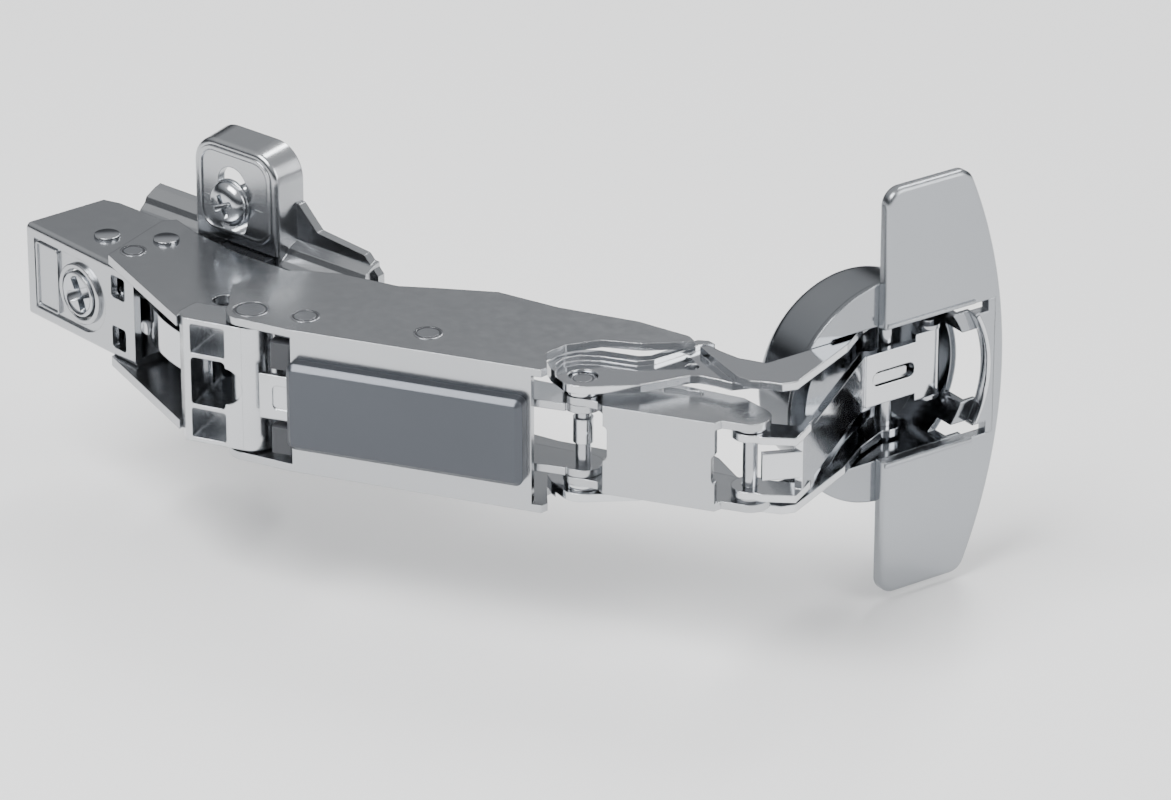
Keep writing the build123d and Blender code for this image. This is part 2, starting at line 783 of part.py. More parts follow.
# Pin at P4 with its roller and washers
with BuildPart() as bridge_pin:
    pin(P4, P4_PIN_R, OUTER_H - 0.5)
    with BuildSketch(Plane.XY.offset(OUTER_H - 0.5 - 0.6)):
        with Locations(P4):
            Circle(2.3)
    extrude(amount=0.6)
    mirror(about=Plane.XY)

bridge_pin.part.label = "bridge_pin"
export_step(bridge_pin.part, "parts/bridge_pin.step")

with BuildPart() as bridge_roller:
    with BuildSketch(Plane.XY.offset(-1.2)):
        with Locations(P4):
            Circle(P4_ROLLER_R)
            Circle(P4_PIN_R, mode=Mode.SUBTRACT)
    extrude(amount=4.3)

bridge_roller.part.label = "bridge_roller"
export_step(bridge_roller.part, "parts/bridge_roller.step")


def washer(name, side):
    with BuildPart() as ring:
        with BuildSketch(Plane.XY.offset(side * (BRIDGE_H + SIDE))) as disc:
            with Locations(P4):
                Circle(3.1)
                Circle(P4_PIN_R, mode=Mode.SUBTRACT)
        extrude(disc.sketch, amount=side * (OUTER_H - OUTER_T - BRIDGE_H - 2 * SIDE))
    ring.part.label = name
    export_step(ring.part, "parts/" + name + ".step")


washer("bridge_washer_upper", 1)
washer("bridge_washer_lower", -1)


# Bridge link: a channel from P4 to P5 with its web in front
def bridge_at(height):
    return link_plane(P4, BRIDGE_DIR, height)


BRIDGE_WEB_Y = -4.6
with BuildPart() as bridge_link:
    with BuildSketch(bridge_at(BRIDGE_H - BRIDGE_T)):
        with BuildLine():
            Polyline(
                (0, -3.1),
                (3.6, -3.4),
                (4.9, BRIDGE_WEB_Y),
                (BRIDGE_LEN - 4.4, BRIDGE_WEB_Y),
                (BRIDGE_LEN - 3.6, -3.3),
                (BRIDGE_LEN, -3.3),
                (BRIDGE_LEN + 1.5, 3.0),
                (BRIDGE_LEN - 3.0, 5.8),
                (8.0, 7.6),
                (2.6, 4.8),
                (0, 3.1),
                close=True,
            )
        make_face()
        with Locations((0, 0), (BRIDGE_LEN, 0)):
            Circle(3.3)
        with Locations((BRIDGE_LEN / 2 + 0.9, 4.6)):
            SlotOverall(7.3, 1.9, rotation=3, mode=Mode.SUBTRACT)
    extrude(amount=BRIDGE_T)
    mirror(about=Plane.XY)
    with BuildSketch(bridge_at(-BRIDGE_H)):
        with Locations((BRIDGE_LEN / 2 + 0.25, BRIDGE_WEB_Y + BRIDGE_T / 2)):
            Rectangle(BRIDGE_LEN - 9.3, BRIDGE_T)
    extrude(amount=2 * BRIDGE_H)
    with BuildSketch(face_plane(P4, BRIDGE_DIR, 10)):
        with Locations((4.4, 1.2)):
            RectangleRounded(2.4, 6.0, 0.8)
        with Locations((BRIDGE_LEN - 4.2, -0.4)):
            RectangleRounded(1.6, 5.0, 0.7)
    extrude(amount=-8, mode=Mode.SUBTRACT)
    bore(P4, P4_PIN_R + RUN)
    bore(P5, P5_PIN_R)

bridge_link.part.label = "bridge_link"
export_step(bridge_link.part, "parts/bridge_link.step")

with BuildPart() as inner_pin:
    pin(P5, P5_PIN_R, BRIDGE_H)
    with BuildSketch(Plane.XY.offset(INNER_H + SIDE)):
        with Locations(P5):
            Circle(2.6)
    extrude(amount=BRIDGE_H - BRIDGE_T - INNER_H - SIDE)
    mirror(about=Plane.XY)

inner_pin.part.label = "inner_pin"
export_step(inner_pin.part, "parts/inner_pin.step")


# Outer link: two long plates with a drawn-up edge, from P4 over the bridge to P6 in the cup
def outer_at(height):
    return link_plane(P4, OUTER_DIR, height)


def outer_plate(name, side):
    with BuildPart() as plate:
        with BuildSketch(outer_at(OUTER_H - OUTER_T)):
            with BuildLine():
                Polyline(
                    (-1.6, -3.7),
                    (6.5, -7.1),
                    (15.1, -7.7),
                    (16.5, -8.4),
                    (18.4, -10.9),
                    (19.7, -13.0),
                    (22.6, -13.7),
                    (23.6, -1.8),
                    (23.0, 0.9),
                    (21.6, 2.0),
                    (12.2, 0.2),
                    (10.4, 0.9),
                    (6.0, 5.6),
                    (2.7, 7.6),
                    (-0.8, 7.5),
                    (-3.6, 5.6),
                    (-4.2, 3.0),
                    (-4.0, 0),
                    close=True,
                )
            make_face()
            with Locations((0, 0)):
                Circle(4.0)
            with Locations((16.9, -5.0)):
                Circle(1.1, mode=Mode.SUBTRACT)
        extrude(amount=OUTER_T)
        # joggled up a sheet's thickness, clear of the door's face, then down into the cup
        with BuildSketch(outer_at(OUTER_H - 0.1)):
            with BuildLine():
                Polyline(
                    (20.3, -13.2),
                    (21.4, -16.1),
                    (23.1, -17.3),
                    (25.4, -19.4),
                    (27.8, -19.8),
                    (OUTER_LEN - 13.3, -11.25),
                    (OUTER_LEN - 7.5, -6.1),
                    (OUTER_LEN - 1.5, -2.6),
                    (OUTER_LEN, 2.9),
                    (OUTER_LEN - 6.0, -0.6),
                    (OUTER_LEN - 10.5, -4.55),
                    (OUTER_LEN - 15.4, -9.75),
                    (26.7, -11.5),
                    (25.2, -9.6),
                    (23.7, -7.8),
                    (22.4, -4.2),
                    (21.8, -1.5),
                    (20.3, -1.2),
                    close=True,
                )
            make_face()
            with Locations((OUTER_LEN, 0)):
                Circle(2.9)
        extrude(amount=OUTER_T)
        # drawn-up edge behind the eye and along the back
        with BuildSketch(outer_at(OUTER_H - 0.2)):
            with BuildLine():
                Polyline(
                    (-4.1, 1.6),
                    (-4.2, 3.0),
                    (-3.6, 5.6),
                    (-0.8, 7.5),
                    (2.7, 7.6),
                    (6.0, 5.6),
                    (10.4, 0.9),
                    (12.2, 0.2),
                    (21.6, 2.0),
                    (23.0, 0.9),
                    (23.3, -0.6),
                    (21.4, 0.2),
                    (12.0, -1.5),
                    (9.2, -0.8),
                    (5.0, 3.6),
                    (2.2, 5.4),
                    (-0.6, 5.6),
                    (-2.6, 4.2),
                    close=True,
                )
            make_face()
        extrude(amount=1.05)
        bore(P4, P4_PIN_R + RUN)
        bore(P6, P6_PIN_R + RUN)
        with BuildSketch(Plane.XY.offset(OUTER_H - 0.5 - 0.6 - SIDE)):
            with Locations(P4):
                Circle(2.3 + SIDE)
        extrude(amount=2, mode=Mode.SUBTRACT)
        if side < 0:
            mirror(about=Plane.XY)
            split(bisect_by=Plane.XY, keep=Keep.BOTTOM)
    plate.part.label = name
    export_step(plate.part, "parts/" + name + ".step")


outer_plate("outer_link_upper", 1)
outer_plate("outer_link_lower", -1)


# Inner link: eyes at P5, a slanting plate and a wide tongue that curls round P7
def door_point(along, depth):
    return along_door(along, depth)


def strip(a, b, t):
    d = heading(a, b)
    w = between(a, b)
    return [a, polar(a, w, d), polar(polar(a, w, d), t, d + 90), polar(a, t, d + 90)]


G_BEND = (113.6, 3.4)
G_LIP = door_point(0.2, 4.6)
TAB_A = (109.5, -1.6)
TONGUE_HALF = 5.9
CURL_R = 2.1
TONGUE_PIN_HALF = 7.2
with BuildPart() as inner_link:
    with BuildSketch(Plane.XY.offset(INNER_H - INNER_T)):
        with BuildLine():
            Polyline(
                (P5[0] - 1.5, P5[1] - 2.6),
                (P5[0] + 3.6, P5[1] - 1.6),
                (P5[0] + 8.0, P5[1] + 1.6),
                G_BEND,
                (G_BEND[0] - 1.0, G_BEND[1] + 3.4),
                (P5[0] + 5.2, P5[1] + 5.2),
                (P5[0] + 1.0, P5[1] + 3.0),
                close=True,
            )
        make_face()
        with Locations(P5):
            Circle(3.0)
    extrude(amount=INNER_T)
    mirror(about=Plane.XY)
    with BuildSketch(Plane.XY.offset(-4.6)):
        with BuildLine():
            Polyline(*strip(G_BEND, G_LIP, INNER_T), close=True)
        make_face()
    extrude(amount=9.2)
    with BuildSketch(Plane.XY.offset(-INNER_H)):
        with BuildLine():
            Polyline(*strip(G_BEND, polar(G_BEND, 6.0, heading(G_BEND, G_LIP)), INNER_T), close=True)
        make_face()
    extrude(amount=2 * INNER_H)
    with BuildSketch(Plane.XY.offset(-4.6)):
        with BuildLine():
            Polyline(
                door_point(-0.9, 3.4),
                door_point(10.0, 3.4),
                door_point(10.0, 4.7),
                door_point(0.9, 4.7),
                door_point(-0.55, 5.66),
                door_point(-1.3, 4.6),
                close=True,
            )
        make_face()
    extrude(amount=9.2)
    with BuildSketch(Plane.XY.offset(-TONGUE_HALF)):
        with BuildLine():
            Polyline(
                door_point(9.0, P7_DEPTH - CURL_R),
                door_point(P7_ALONG, P7_DEPTH - CURL_R),
                door_point(P7_ALONG, P7_DEPTH - CURL_R + INNER_T),
                door_point(9.0, P7_DEPTH - CURL_R + INNER_T),
                close=True,
            )
        make_face()
        with Locations(P7):
            Circle(CURL_R)
    extrude(amount=2 * TONGUE_HALF)
    # tab bent up between the eyes
    with BuildSketch(Plane.XY.offset(-2.3)):
        with BuildLine():
            Polyline(*strip(TAB_A, G_BEND, 1.2), close=True)
        make_face()
    extrude(amount=4.6)
    bore(P5, P5_PIN_R + RUN)
    bore(P7, P7_PIN_R)
    with BuildSketch(cup_plane(2)):
        with Locations((4.6, 0)):
            RectangleRounded(8.4, 2.6, 1.2)
    extrude(amount=-7.5, mode=Mode.SUBTRACT)

inner_link.part.label = "inner_link"
export_step(inner_link.part, "parts/inner_link.step")

with BuildPart() as tongue_pin:
    pin(P7, P7_PIN_R, TONGUE_PIN_HALF)
    # collars beside the curl
    with BuildSketch(Plane.XY.offset(TONGUE_HALF)):
        with Locations(P7):
            Circle(2.25)
    extrude(amount=0.7)
    mirror(about=Plane.XY)

tongue_pin.part.label = "tongue_pin"
export_step(tongue_pin.part, "parts/tongue_pin.step")

# Cup: drilled into the door, flat cheeks inside, a thin round flange
with BuildPart() as cup:
    with BuildSketch(cup_plane(-CUP_DEPTH)):
        Circle(CUP_DIA / 2)
    extrude(amount=CUP_DEPTH)
    fillet(cup.edges().filter_by(GeomType.CIRCLE).sort_by(lambda e: e.center().dot(Vector(*DOOR_N)))[0], 2.0)
    with BuildSketch(cup_plane()):
        Circle(FLANGE_R)
    extrude(amount=FLANGE_T)
    with BuildSketch(cup_plane(-CUP_DEPTH + CUP_WALL)):
        Circle(CUP_DIA / 2 - CUP_WALL)
        Rectangle(2 * CUP_DIA, 2 * POCKET_HALF, mode=Mode.INTERSECT)
    extrude(amount=CUP_DEPTH + 2, mode=Mode.SUBTRACT)
    # low right rim, cut down for the links when the hinge closes
    with BuildSketch(cup_plane(-3.6)):
        with Locations((16.0, 0)):
            Rectangle(8.0, 2 * (TONGUE_HALF + 0.4))
    extrude(amount=8, mode=Mode.SUBTRACT)
    # notches in the right rim for the outer link when the hinge is closed
    with BuildSketch(cup_plane(-2.6)):
        with Locations((CUP_DIA / 2 - 2.9, NOTCH_MID), (CUP_DIA / 2 - 2.9, -NOTCH_MID)):
            Rectangle(7.6, NOTCH_W)
    extrude(amount=8, mode=Mode.SUBTRACT)
    bore(P6, P6_PIN_R, POCKET_HALF + 1.2)

cup.part.label = "cup"
export_step(cup.part, "parts/cup.step")

with BuildPart() as outer_pin:
    pin(P6, P6_PIN_R, POCKET_HALF + 1.2)

outer_pin.part.label = "outer_pin"
export_step(outer_pin.part, "parts/outer_pin.step")

# Cover: a domed plate with one straight and one bulging side, open over the pocket
with BuildPart() as cup_cover:
    with BuildSketch(cup_plane(FLANGE_T)):
        with BuildLine():
            Line((-2.0, -COVER_REACH), (-2.0, COVER_REACH))
            Line((-2.0, COVER_REACH), (14.5, COVER_REACH))
            ThreePointArc((14.5, COVER_REACH), (22.4, 0), (14.5, -COVER_REACH))
            Line((14.5, -COVER_REACH), (-2.0, -COVER_REACH))
        make_face()
    extrude(amount=COVER_T)
    fillet(cup_cover.edges().filter_by(lambda e: abs(e.tangent_at(0.5).dot(Vector(*DOOR_N))) > 0.99), 3.0)
    dome = cup_cover.faces().sort_by(lambda f: f.center().dot(Vector(*DOOR_N)))[-1]
    fillet(dome.outer_wire().edges(), 0.8)
    with BuildSketch(cup_plane()):
        with Locations((COVER_LEFT + 12.3, 0)):
            RectangleRounded(24.6, 2 * POCKET_HALF, 5.0)
        with Locations((COVER_LEFT + 17.6, 0)):
            RectangleRounded(15.8, 2 * POCKET_HALF, 1.6)
    extrude(amount=8, mode=Mode.SUBTRACT)

cup_cover.part.label = "cup_cover"
export_step(cup_cover.part, "parts/cup_cover.step")
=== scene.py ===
import json
import math

import bmesh
import bpy
from mathutils import Matrix, Vector


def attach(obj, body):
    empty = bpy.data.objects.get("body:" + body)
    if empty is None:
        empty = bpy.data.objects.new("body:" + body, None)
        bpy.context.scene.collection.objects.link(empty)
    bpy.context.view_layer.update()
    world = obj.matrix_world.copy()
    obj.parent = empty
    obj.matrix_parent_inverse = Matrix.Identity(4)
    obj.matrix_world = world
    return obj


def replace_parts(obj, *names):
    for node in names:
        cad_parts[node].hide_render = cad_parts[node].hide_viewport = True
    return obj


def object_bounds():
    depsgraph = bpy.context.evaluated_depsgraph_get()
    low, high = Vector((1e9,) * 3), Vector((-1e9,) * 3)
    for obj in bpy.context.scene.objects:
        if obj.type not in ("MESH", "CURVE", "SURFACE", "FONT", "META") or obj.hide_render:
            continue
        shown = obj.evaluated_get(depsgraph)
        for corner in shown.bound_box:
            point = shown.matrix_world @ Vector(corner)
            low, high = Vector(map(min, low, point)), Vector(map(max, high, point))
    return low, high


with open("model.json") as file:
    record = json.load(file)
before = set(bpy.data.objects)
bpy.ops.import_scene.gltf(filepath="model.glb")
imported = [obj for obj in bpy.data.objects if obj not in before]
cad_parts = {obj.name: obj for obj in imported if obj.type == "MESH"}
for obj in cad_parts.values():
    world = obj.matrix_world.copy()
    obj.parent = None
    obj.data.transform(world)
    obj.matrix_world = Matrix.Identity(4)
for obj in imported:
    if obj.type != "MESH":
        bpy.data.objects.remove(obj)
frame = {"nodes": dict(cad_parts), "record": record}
cadLow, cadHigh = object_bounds()
nodes = frame["nodes"]
mm = 0.001

# spots of the pins and rivets in the row frame, in mm
pivots = {
    "main": (26.3, -29.8),
    "bridge": (80.004, -10.402),
    "rivetNear": (34.75, -26.11),
    "rivetFar": (54.10, -18.16),
    "boxRear": (-18.20, -17.38),
    "boxMiddle": (-6.90, -14.90),
    "boxFront": (-8.10, -21.50),
}


def hexToLinear(hexColour):
    parts = [int(hexColour[i:i + 2], 16) / 255 for i in (1, 3, 5)]
    linear = [c / 12.92 if c <= 0.04045 else ((c + 0.055) / 1.055) ** 2.4 for c in parts]
    return (*linear, 1.0)


def addNode(tree, kind, settings=None, links=None):
    node = tree.nodes.new(kind)
    for key, value in (settings or {}).items():
        if key in node.inputs.keys():
            node.inputs[key].default_value = value
        else:
            setattr(node, key, value)
    for key, socket in (links or {}).items():
        tree.links.new(socket, node.inputs[key])
    return node


def metalFinish(name, finish):
    # plated metal: an even tone, a fine grain that only moves the gloss, a faint skin and eased edges
    material = bpy.data.materials.new(name)
    material.use_nodes = True
    tree = material.node_tree
    tree.nodes.clear()
    place = addNode(tree, "ShaderNodeTexCoord")
    grainMap = addNode(tree, "ShaderNodeMapping", {"Scale": finish["grainStretch"]},
                       {"Vector": place.outputs["Object"]})
    grain = addNode(tree, "ShaderNodeTexNoise",
                    {"Scale": 1000 / finish["grainMm"], "Detail": 4.0, "Roughness": 0.6},
                    {"Vector": grainMap.outputs["Vector"]})
    cloud = addNode(tree, "ShaderNodeTexNoise", {"Scale": 1000 / finish["cloudMm"], "Detail": 1.0},
                    {"Vector": place.outputs["Object"]})
    tone = addNode(tree, "ShaderNodeMix", {"data_type": "RGBA"}, {"Factor": cloud.outputs["Fac"]})
    colourA, colourB, colourOut = tone.inputs[6], tone.inputs[7], tone.outputs[2]
    colourA.default_value = hexToLinear(finish["darkTone"])
    colourB.default_value = hexToLinear(finish["lightTone"])
    sheen = addNode(tree, "ShaderNodeMapRange",
                    {"From Min": 0.3, "From Max": 0.7,
                     "To Min": finish["gloss"][0], "To Max": finish["gloss"][1]},
                    {"Value": grain.outputs["Fac"]})
    eased = addNode(tree, "ShaderNodeBevel", {"samples": 4, "Radius": finish["edgeMm"] * mm})
    bump = addNode(tree, "ShaderNodeBump",
                   {"Strength": finish["bumpStrength"], "Distance": finish["bumpMm"] * mm},
                   {"Height": grain.outputs["Fac"], "Normal": eased.outputs["Normal"]})
    shader = addNode(tree, "ShaderNodeBsdfPrincipled", {"Metallic": finish["metallic"]},
                     {"Base Color": colourOut, "Roughness": sheen.outputs["Result"],
                      "Normal": bump.outputs["Normal"]})
    addNode(tree, "ShaderNodeOutputMaterial", links={"Surface": shader.outputs["BSDF"]})
    return material


even = (1.0, 1.0, 1.0)
finishes = {
    # nickel-plated sheet steel, rolled and pressed: satin grey mirror with a faint rolling grain
    "nickelPlatedSheet": {"darkTone": "#ABADB0", "lightTone": "#B6B8BB", "gloss": (0.19, 0.25),
                          "grainMm": 0.5, "grainStretch": (0.3, 0.3, 3.0), "cloudMm": 30, "bumpMm": 0.004,
                          "bumpStrength": 0.05, "edgeMm": 0.22, "metallic": 1.0},
    # bright nickel over polished steel: near mirror, only handling haze
    "brightNickelPlate": {"darkTone": "#C6C8CB", "lightTone": "#D2D4D7", "gloss": (0.07, 0.12),
                          "grainMm": 1.2, "grainStretch": even, "cloudMm": 20, "bumpMm": 0.006,
                          "bumpStrength": 0.06, "edgeMm": 0.28, "metallic": 1.0},
    # drawn steel of the cup, plated bright; its tone is darkened as painted shade of the cup's hollow: a
    # darker mirror
    "cupDarkenedPaintedShade": {"darkTone": "#8C8F93", "lightTone": "#9B9EA2", "gloss": (0.10, 0.17), "grainMm": 0.9,
                       "grainStretch": even, "cloudMm": 12, "bumpMm": 0.006, "bumpStrength": 0.08,
                       "edgeMm": 0.35, "metallic": 1.0},
    # die-cast zinc, barrel-plated: slightly wavy skin and a soft shine
    "castZincPlate": {"darkTone": "#B8BABD", "lightTone": "#C8CACD", "gloss": (0.16, 0.27), "grainMm": 0.8,
                      "grainStretch": even, "cloudMm": 9, "bumpMm": 0.02, "bumpStrength": 0.12,
                      "edgeMm": 0.35, "metallic": 1.0},
    # turned steel pins and rivets, burnished ends
    "turnedSteel": {"darkTone": "#A6A8AC", "lightTone": "#BBBDC1", "gloss": (0.14, 0.22), "grainMm": 0.3,
                    "grainStretch": even, "cloudMm": 6, "bumpMm": 0.005, "bumpStrength": 0.08,
                    "edgeMm": 0.12, "metallic": 1.0},
    # zinc-plated screws and adjusting cam, bright with a slightly rough strike
    "zincPlatedScrew": {"darkTone": "#AEB1B5", "lightTone": "#C6C9CD", "gloss": (0.13, 0.22), "grainMm": 0.4,
                        "grainStretch": even, "cloudMm": 5, "bumpMm": 0.010, "bumpStrength": 0.10,
                        "edgeMm": 0.18, "metallic": 1.0},
    # dark grey lacquered damper cover: satin, even
    "lacqueredCover": {"darkTone": "#4B4E53", "lightTone": "#55585E", "gloss": (0.30, 0.36), "grainMm": 0.35,
                       "grainStretch": even, "cloudMm": 30, "bumpMm": 0.006, "bumpStrength": 0.10,
                       "edgeMm": 0.3, "metallic": 0.75},
    # moulded glass-filled polyamide: matt, fine spark-eroded texture
    "mouldedPolyamide": {"darkTone": "#34363A", "lightTone": "#404247", "gloss": (0.42, 0.58),
                         "grainMm": 0.25, "grainStretch": even, "cloudMm": 9, "bumpMm": 0.02,
                         "bumpStrength": 0.3, "edgeMm": 0.25, "metallic": 0.0},
    # hardened and oiled spring steel: dark with a long grain
    "oiledSpringSteel": {"darkTone": "#4C4E52", "lightTone": "#626469", "gloss": (0.22, 0.34),
                         "grainMm": 0.4, "grainStretch": (0.25, 0.25, 3.0), "cloudMm": 9, "bumpMm": 0.010,
                         "bumpStrength": 0.15, "edgeMm": 0.2, "metallic": 1.0},
    # painted shade round a pressed-in pin: a dark ring stands in for the shadow in the joint line
    "pressedSeam": {"darkTone": "#4A4C50", "lightTone": "#56585C", "gloss": (0.30, 0.36), "grainMm": 0.4,
                    "grainStretch": even, "cloudMm": 6, "bumpMm": 0.002, "bumpStrength": 0.05,
                    "edgeMm": 0.02, "metallic": 0.8},
    # satin nickel cover of the cup: blasted before plating, so a broad soft highlight
    "satinNickelCover": {"darkTone": "#9B9EA2", "lightTone": "#A6A9AD", "gloss": (0.24, 0.27), "grainMm": 0.6,
                         "grainStretch": even, "cloudMm": 40, "bumpMm": 0.004, "bumpStrength": 0.03,
                         "edgeMm": 0.5, "metallic": 1.0},
}
looks = {name: metalFinish(name, finish) for name, finish in finishes.items()}

slotLooks = {
    "nickel_steel": "nickelPlatedSheet",
    "bright_nickel": "brightNickelPlate",
    "diecast": "castZincPlate",
    "pin_steel": "turnedSteel",
    "screw_steel": "zincPlatedScrew",
    "cover_grey": "lacqueredCover",
    "plastic_grey": "mouldedPolyamide",
    "spring_steel": "oiledSpringSteel",
    "satin_cover": "satinNickelCover",
}
# the cup's darker finish is painted shade of its hollow, not its own tone
ownLooks = {"cup": "cupDarkenedPaintedShade", "spring_lever": "brightNickelPlate"}
for part in frame["record"]["subparts"]:
    look = looks[ownLooks.get(part["node"], slotLooks[part["material_slot"]])]
    data = nodes[part["node"]].data
    if len(data.materials) == 0:
        data.materials.append(look)
    for index in range(len(data.materials)):
        data.materials[index] = look
print("finishes on", len(nodes), "nodes")


def upright(spot, turn=0.0, height=0.0):
    # frame of a pin: local z along the row's Z, at a pivot given in mm
    place = Matrix.Translation(Vector((spot[0], spot[1], height)) * mm)
    return place @ Matrix.Rotation(math.radians(turn), 4, "Z")


def facing(spot, turn, height=0.0):
    # frame on an upright sheet: local x along it, local y up, local z out to the viewer
    turned = Matrix.Rotation(math.radians(turn), 4, "Z") @ Matrix.Rotation(math.radians(90), 4, "X")
    return Matrix.Translation(Vector((spot[0], spot[1], height)) * mm) @ turned


def shifted(x, y, z):
    # a shift in mm within a frame
    return Matrix.Translation(Vector((x, y, z)) * mm)


def flipped(degrees):
    # the same pin from its other end
    return Matrix.Rotation(math.radians(degrees), 4, "X")


def finishPiece(name, work, place, body, slotName, sharp=32):
    bmesh.ops.scale(work, vec=(mm, mm, mm), verts=work.verts)
    bmesh.ops.transform(work, matrix=place, verts=work.verts)
    bmesh.ops.remove_doubles(work, verts=work.verts, dist=1e-7)
    bmesh.ops.recalc_face_normals(work, faces=work.faces)
    mesh = bpy.data.meshes.new(name)
    work.to_mesh(mesh)
    work.free()
    mesh.shade_smooth()
    mesh.set_sharp_from_angle(angle=math.radians(sharp))
    piece = bpy.data.objects.new(name, mesh)
    bpy.context.scene.collection.objects.link(piece)
    mesh.materials.append(looks[slotLooks[slotName]])
    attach(piece, body)
    return piece


def turnProfile(work, profile, steps=48):
    # a half section of (radius, height) points spun round local z
    verts = [work.verts.new((r, 0, h)) for r, h in profile]
    edges = [work.edges.new(pair) for pair in zip(verts, verts[1:])]
    bmesh.ops.spin(work, geom=verts + edges, cent=(0, 0, 0), axis=(0, 0, 1), angle=math.tau,
                   steps=steps, use_merge=True)
    bmesh.ops.remove_doubles(work, verts=work.verts, dist=1e-5)


def pinProfile(pin):
    # from the centre of the top: flat disc, fine ring groove, eased rim, shank, then the same mirrored
    top, head, edge = pin["top"], pin["head"], pin["edge"]
    profile = [(0, top)]
    if pin["groove"]:
        start, width, depth = pin["groove"]
        end, draft = start + width, 0.05
        profile += [(start, top), (start + draft, top - depth), (end - draft, top - depth), (end, top)]
    profile += [(head - edge, top), (head - edge * 0.3, top - edge * 0.3), (head, top - edge)]
    if head > pin["shank"]:
        profile += [(head, pin["under"]), (pin["shank"], pin["under"])]
    if "bottom" in pin:
        return profile + [(pin["shank"], pin["bottom"]), (0, pin["bottom"])]
    return profile + [(radius, -height) for radius, height in reversed(profile)]


pins = {
    "housingRivetNear": {"spot": "rivetNear", "shank": 2.1, "head": 2.42, "top": 12.68, "under": 12.61,
                         "groove": (1.78, 0.34, 0.25), "edge": 0.05, "node": "housing_rivet_near",
                         "body": "housing"},
    "housingRivetFar": {"spot": "rivetFar", "shank": 2.1, "head": 2.42, "top": 12.68, "under": 12.61,
                        "groove": (1.78, 0.34, 0.25), "edge": 0.05, "node": "housing_rivet_far",
                        "body": "housing"},
    "mainPivotPin": {"spot": "main", "shank": 2.4, "head": 2.9, "top": 12.62, "under": 12.12,
                     "groove": (2.34, 0.36, 0.28), "edge": 0.06, "node": "main_pin", "body": "arm"},
    "bridgePivotPin": {"spot": "bridge", "shank": 1.25, "head": 2.3, "top": 9.78, "under": 9.12,
                       "groove": (1.45, 0.30, 0.25), "edge": 0.16, "node": "bridge_pin", "body": "housing"},
    "boxRivetMiddle": {"spot": "boxMiddle", "shank": 1.9, "head": 2.2, "top": 10.62, "under": 10.11,
                       "groove": None, "edge": 0.16, "node": "arm_rivet_middle", "body": "arm"},
    "boxRivetFront": {"spot": "boxFront", "shank": 1.9, "head": 2.25, "top": 10.18, "under": 10.11,
                      "groove": (1.58, 0.34, 0.22), "edge": 0.05, "node": "arm_rivet_front", "body": "arm"},
}
pinSharp = 25
shadeRingGap = 0.01
for name, pin in pins.items():
    seat = upright(pivots[pin["spot"]])
    work = bmesh.new()
    turnProfile(work, pinProfile(pin))
    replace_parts(finishPiece(name, work, seat, pin["body"], "pin_steel", pinSharp), pin["node"])
    if not pin["groove"]:
        continue
    # the groove is filled by a dark ring, flush with the top: painted shade standing in for the groove's
    # shadow
    start, width, depth = pin["groove"]
    inside, outside, foot = start + shadeRingGap, start + width - shadeRingGap, pin["top"] - depth
    for flip, end in ((0, "Upper"), (180, "Lower")):
        work = bmesh.new()
        turnProfile(work, [(inside, pin["top"]), (outside, pin["top"]), (outside, foot), (inside, foot),
                           (inside, pin["top"])])
        seamShade = finishPiece(name + "Seam" + end, work, seat @ flipped(flip),
                           pin["body"], "spring_steel", pinSharp)
        # the ring's dark finish is painted shade for the groove
        seamShade.data.materials[0] = looks["pressedSeam"]
rearRivet = {"shank": 1.9, "head": 2.2, "top": 8.92, "under": 8.41, "groove": None, "edge": 0.16,
             "bottom": 5.85}
for end, flip in (("Upper", 0), ("Lower", 180)):
    work = bmesh.new()
    turnProfile(work, pinProfile(rearRivet))
    piece = finishPiece("boxRivetRear" + end, work, upright(pivots["boxRear"]) @ flipped(flip),
                        "arm", "pin_steel", pinSharp)
    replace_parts(piece, "arm_rivet_rear_" + end.lower())
print("pins and rivets turned")


def only(kind, geometry):
    return [item for item in geometry if isinstance(item, kind)]


def plateFrom(work, outline, thick, edge, corner=0.0, steps=4):
    # a flat outline in x, y with rounded corners, raised to its thickness, its upper rim eased
    verts = [work.verts.new((x, y, 0)) for x, y in outline]
    border = [work.edges.new(pair) for pair in zip(verts, verts[1:] + verts[:1])]
    face = bmesh.ops.contextual_create(work, geom=border)["faces"]
    if corner:
        bmesh.ops.bevel(work, geom=verts, offset=corner, affect="VERTICES", segments=steps, profile=0.5,
                        material=-1, clamp_overlap=True)
        face = list(work.faces)
    grown = bmesh.ops.extrude_face_region(work, geom=face)["geom"]
    bmesh.ops.translate(work, vec=(0, 0, thick), verts=only(bmesh.types.BMVert, grown))
    if edge:
        rim = list({side for top in only(bmesh.types.BMFace, grown) for side in top.edges})
        bmesh.ops.bevel(work, geom=rim, offset=edge, affect="EDGES", segments=2, profile=0.5, material=-1)


def ringFrom(work, outline, width, thick, edge, corner, steps=6):
    # the border of an outline: rounded, inset by the width, its middle dropped, raised and eased
    verts = [work.verts.new((x, y, 0)) for x, y in outline]
    bmesh.ops.contextual_create(work, geom=verts)
    bmesh.ops.bevel(work, geom=verts, offset=corner, affect="VERTICES", segments=steps, profile=0.5,
                    material=-1)
    inner = list(work.faces)
    border = bmesh.ops.inset_region(work, faces=inner, thickness=width, depth=0, use_even_offset=True,
                                    use_boundary=True)["faces"]
    bmesh.ops.delete(work, geom=inner, context="FACES")
    grown = bmesh.ops.extrude_face_region(work, geom=border)["geom"]
    bmesh.ops.translate(work, vec=(0, 0, thick), verts=only(bmesh.types.BMVert, grown))
    top = set(only(bmesh.types.BMFace, grown))
    rims = [side for side in work.edges
            if len(side.link_faces) == 2 and sum(face in top for face in side.link_faces) == 1]
    bmesh.ops.bevel(work, geom=rims, offset=edge, affect="EDGES", segments=2, profile=0.5, material=-1)


def block(low, high):
    return [(low[0], low[1]), (high[0], low[1]), (high[0], high[1]), (low[0], high[1])]


